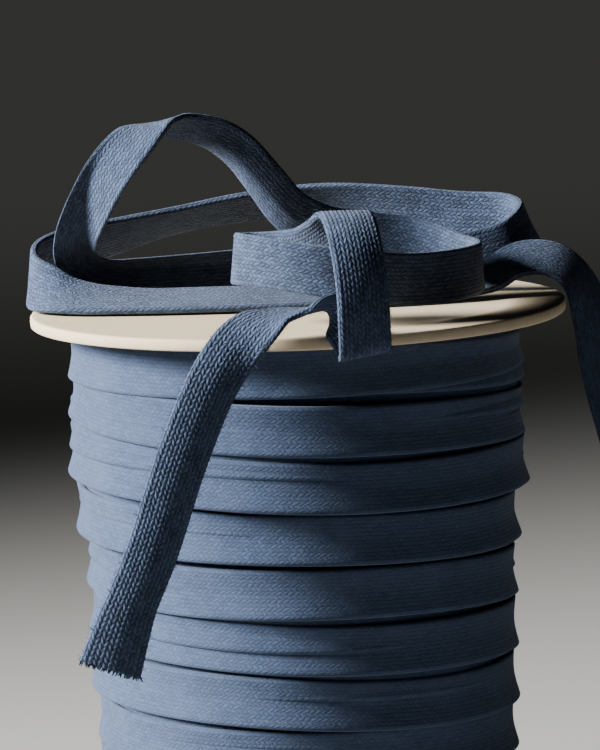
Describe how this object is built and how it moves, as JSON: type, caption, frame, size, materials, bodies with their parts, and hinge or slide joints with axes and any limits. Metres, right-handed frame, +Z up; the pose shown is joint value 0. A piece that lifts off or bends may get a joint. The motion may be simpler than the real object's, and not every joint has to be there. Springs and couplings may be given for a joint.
{
  "type": "roll of drawstring cord",
  "caption": "Upright roll of flat braided drawstring cord wound between thin round end discs, its loose end looped over the upper disc and hanging down at the front",
  "frame": {"origin": "centre of the flat underside of the lower disc, on the roll's axis", "axes": "+Z up along the roll's axis, -Y towards the side where the cord's end hangs, +X to the right seen from that side"},
  "size_m": [0.1288, 0.1196, 0.1649],
  "materials": {
    "cotton_cord": "matt braided cotton, dusty blue",
    "pale_board": "plain matt cream board"
  },
  "bodies": {
    "root": {"flange_bottom": "pale_board", "flange_top": "pale_board", "cord_winding": "cotton_cord", "cord_loose": "cotton_cord"}
  },
  "joints": []
}
